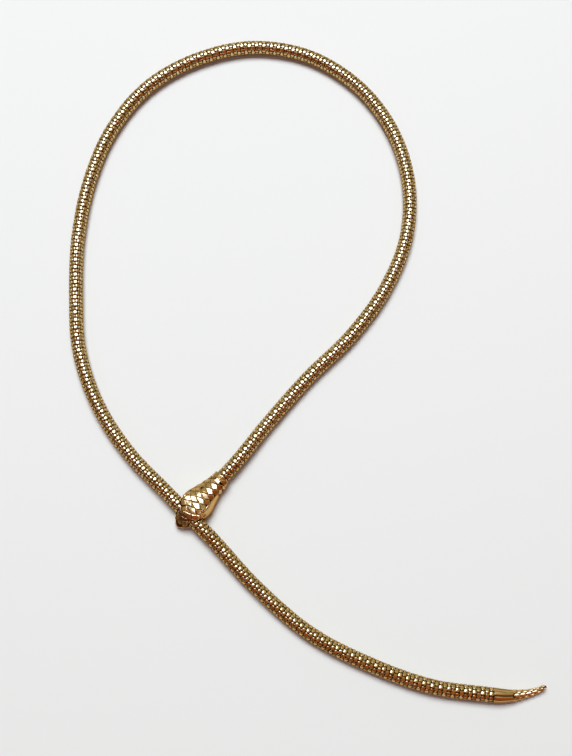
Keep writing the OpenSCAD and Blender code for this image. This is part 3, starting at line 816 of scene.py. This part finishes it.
def jaw_body():
    """Closed lower jaw, level at the seam and rounded below it."""
    keys = np.arange(len(JAW_SIDE))
    side = hermite(keys, JAW_SIDE, np.linspace(0, keys[-1], JAW_SIDE_POINTS))
    u = np.linspace(JAW_START, HEAD_LEN, JAW_ROWS)
    rings = []
    for u0, half in zip(u, form(u)[:, 0]):
        w = np.maximum(half - side[:, 0], JAW_LEAST)
        z = np.maximum(side[:, 1], 0)
        right = np.stack([np.full(len(w), u0), w, z], -1)
        left = right[::-1] * (1, -1, 1)
        rings.append(np.concatenate([right, left])[::-1])
    rings = np.array(rings)
    return lofted("jaw", head_point(rings[..., 0], rings[..., 1], rings[..., 2]))


def jaw_tray():
    """Hollow of the jaw, from above the seam down to its floor."""
    u = np.linspace(TRAY_FROM, TRAY_TO, TRAY_ROWS)
    inner = form(u)[:, 0] - SHELL_WALL
    rings = [[head_point(u0, s * (half - i), z) for s, i, z in TRAY_SECTION] for u0, half in zip(u, inner)]
    return lofted("tray", np.array(rings))


def cast_jaw():
    """Collar, lower jaw and middle knuckle in one casting."""
    piece = jaw_body()
    combine(piece, "DIFFERENCE", jaw_tray())
    low, high = (MOUTH_U - MOUTH_R, -CUT_HALF, JAW_FLOOR), (MOUTH_U + MOUTH_R, CUT_HALF, CHANNEL_TOP)
    combine(piece, "DIFFERENCE", box("channel", low, high))
    combine(piece, "UNION", cast_collar())
    bore = [(COLLAR_BORE_FROM, COLLAR_BORE_R), (COLLAR_BORE_END, COLLAR_BORE_R)]
    combine(piece, "DIFFERENCE", lathed("collar_bore", bore, NECK_Z))
    combine(piece, "UNION", prism("leaf", HINGE_LEAF, KNUCKLE_W))
    combine(piece, "UNION", bar("middle_knuckle", HINGE_U, HINGE_Z, KNUCKLE_W, KNUCKLE_R))
    combine(piece, "DIFFERENCE", bar("pin_bore", HINGE_U, HINGE_Z, PIN_BORE_HALF, PIN_R + PIN_PLAY))
    set_wear_and_shade(piece, np.full(len(piece.data.vertices), JAW_WEAR))
    finish_piece(piece, "necklace", ["lower_jaw"], CAST_GOLD, JAW_SHARP)


# Tail

def tail_frames():
    """Distances along the tail, its middle points and radius, and the directions to the side and up."""
    table = np.array(TAIL)
    middle = table[:, :3]
    keys = chords(middle)
    t = np.linspace(0, 1, TAIL_ROWS) * keys[-1]
    ahead = hermite(keys, middle, np.clip(t + TAIL_REACH, 0, keys[-1]))
    behind = hermite(keys, middle, np.clip(t - TAIL_REACH, 0, keys[-1]))
    along = unit(ahead - behind)
    side = unit(np.cross([0, 0, 1], along))
    line = hermite(keys, table, t)
    return t, line[:, :3], line[:, 3], side, np.cross(along, side)


def leaf_relief(t, turn):
    """Height of the long leaves at the tail's base."""
    relief = np.zeros((len(t), len(turn)))
    width = 2 * math.pi / LEAF_COUNT
    for k in range(LEAF_COUNT):
        angle = math.pi / 2 + 2 * math.pi * (k + 0.5) / LEAF_COUNT
        y = abs(wrapped(turn[None, :] - angle)) / (width / 2)
        reach = LEAF_LENGTH + LEAF_POINT * (1 - y)
        inside = np.minimum((1 - y) * LEAF_SIDE - LEAF_GROOVE, (reach - t[:, None]) * LEAF_END)
        crown = LEAF_LIFT * (LEAF_LOW + (1 - LEAF_LOW) * np.cos(np.clip(y, 0, 1) * math.pi / 2))
        relief = np.maximum(relief, crown * np.clip(inside / LEAF_EDGE, 0, 1))
    return relief


def tail_scale_relief(t, turn, radius):
    """Height of the rounded scales behind the leaves, each higher towards the tip."""
    relief = np.zeros((len(t), len(turn)))
    for j in range(TAIL_COLUMNS):
        angle = 2 * math.pi * (j + 0.5) / TAIL_COLUMNS
        across = wrapped(turn[None, :] - angle) * radius[:, None]
        start = LEAF_LENGTH + TAIL_FIRST + (j % 2) * TAIL_PITCH / 2
        for t0 in np.arange(start, t[-1] - TAIL_BARE, TAIL_PITCH):
            along = t[:, None] - t0
            r0 = float(np.interp(t0, t, radius))
            half = r0 * math.pi / TAIL_COLUMNS * TAIL_SCALE_WIDE
            off = (along / (TAIL_PITCH * TAIL_SCALE_LONG)) ** 2 + (across / half) ** 2
            dome = TAIL_LIFT * min(1, r0) * np.sqrt(np.clip(1.0 - off**2, 0, 1))
            relief = np.maximum(relief, dome * np.maximum(TAIL_MIDDLE + TAIL_RISE * along, TAIL_LEAST))
    return relief


def cast_tail():
    """Cast tail: long leaves at its base, rounded scales behind them, and a bare tip."""
    t, middle, radius, side, up = tail_frames()
    turn = circle(TAIL_SIDES)
    relief = np.maximum(leaf_relief(t, turn), tail_scale_relief(t, turn, radius))
    into_tip = np.clip(t - (t[-1] - TIP_ROUND), 0, None) / TIP_DRAWN
    tip = np.sqrt(np.clip(1 - into_tip**2, TIP_LEAST, 1))[:, None]
    inset = TAIL_INSET * (np.clip(t / TAIL_INSET_OVER, 0, 1) * np.clip(radius, 0, 1))[:, None]
    out = (radius[:, None] - inset + relief * np.clip(t / TAIL_RELIEF_OVER, 0, 1)[:, None]) * tip
    points = middle[:, None] + out[..., None] * (
        np.cos(turn)[None, :, None] * side[:, None] + np.sin(turn)[None, :, None] * up[:, None]
    )
    piece = lofted("cast_tail", points)
    leaves = np.where(t < LEAF_LENGTH + LEAF_WEAR_END, LEAF_WEAR, 1)[:, None]
    # The tail's hollows are darker with patina and painted shade
    set_wear_and_shade(piece, np.clip(relief / TAIL_SHADE_AND_WEAR_HEIGHT, 0, 1) * leaves)
    finish_piece(piece, "necklace", ["tail"], CAST_GOLD, TAIL_SHARP)


# Floor, light and camera

def make_floor():
    """Wide sheet of paper just under the necklace."""
    corners = [(-1, -1), (1, -1), (1, 1), (-1, 1)]
    points = [(x * FLOOR_HALF, y * FLOOR_HALF, FLOOR_Z) for x, y in corners]
    piece = new_piece("floor", points, [np.array([[0, 1, 2, 3]])])
    piece.data.materials.append(paper())


def soft_light(name, tilt_x, tilt_y, distance, size, radiance, colour, on_matt, on_gold):
    """Area light, seen from the necklace at these tilts from straight up and turned towards it."""
    light = bpy.data.lights.new(name, "AREA")
    light.shape = "RECTANGLE"
    light.size, light.size_y = size
    light.energy = radiance * math.pi * size[0] * size[1]
    light.color = colour
    lamp = bpy.data.objects.new(name, light)
    aim = Vector((math.tan(math.radians(tilt_x)), math.tan(math.radians(tilt_y)), 1)).normalized()
    lamp.location = Vector(LIT_POINT) + aim * distance
    lamp.rotation_mode = "QUATERNION"
    lamp.rotation_quaternion = aim.to_track_quat("Z", "Y")
    lamp.visible_diffuse = on_matt
    lamp.visible_glossy = on_gold
    bpy.context.scene.collection.objects.link(lamp)


def plain_light(tree, colour):
    """Background of one colour."""
    background = tree.nodes.new("ShaderNodeBackground")
    background.inputs["Color"].default_value = (*colour, 1)
    return background.outputs["Background"]


def chosen(tree, ray, otherwise, shader):
    """The shader for this kind of ray, and the other one otherwise."""
    mix = tree.nodes.new("ShaderNodeMixShader")
    tree.links.new(ray, mix.inputs["Fac"])
    tree.links.new(otherwise, mix.inputs[1])
    tree.links.new(shader, mix.inputs[2])
    return mix.outputs["Shader"]


def make_world():
    """Dim warm room round the softbox, fill light, and a pale backdrop behind the floor's far edge."""
    world = bpy.data.worlds.new("room")
    bpy.context.scene.world = world
    world.use_nodes = True
    tree = world.node_tree
    place = tree.nodes.new("ShaderNodeTexCoord")
    split = tree.nodes.new("ShaderNodeSeparateXYZ")
    tree.links.new(place.outputs["Generated"], split.inputs[0])
    dim = tree.nodes["Background"]
    tint = ranged(tree, split.outputs["Y"], ROOM_SPAN, (0, 1))
    tree.links.new(colour_mix(tree, tint, ROOM_NEAR, ROOM_FAR), dim.inputs["Color"])
    tree.links.new(ranged(tree, split.outputs["Z"], ROOM_HEIGHTS, ROOM_STRENGTHS), dim.inputs["Strength"])
    rays = tree.nodes.new("ShaderNodeLightPath")
    fill, backdrop = plain_light(tree, FILL), plain_light(tree, BACKDROP)
    lit = chosen(tree, rays.outputs["Is Diffuse Ray"], dim.outputs["Background"], fill)
    seen = chosen(tree, rays.outputs["Is Camera Ray"], lit, backdrop)
    tree.links.new(seen, tree.nodes["World Output"].inputs["Surface"])


def make_camera():
    """Camera at the photo's own place."""
    data = bpy.data.cameras.new("camera")
    data.lens = CAMERA_LENS
    data.sensor_width = CAMERA_SENSOR
    data.clip_start, data.clip_end = CAMERA_NEAR, CAMERA_FAR
    camera = bpy.data.objects.new("camera", data)
    tilt = math.radians(CAMERA_TILT)
    back = Vector((0, -math.sin(tilt), math.cos(tilt)))
    camera.location = (Vector(LOOK_AT) + back * CAMERA_DISTANCE) * MM
    camera.rotation_euler = (tilt, 0, 0)
    bpy.context.scene.collection.objects.link(camera)
    bpy.context.scene.camera = camera


bpy.context.scene.view_settings.view_transform = "Standard"
make_camera()
make_world()
make_floor()
for row in LIGHTS:
    soft_light(*row)

linked_mesh()
cast_head()
cast_jaw()
cast_tail()
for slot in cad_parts["hinge_pin"].material_slots:
    slot.material = PIN_GOLD
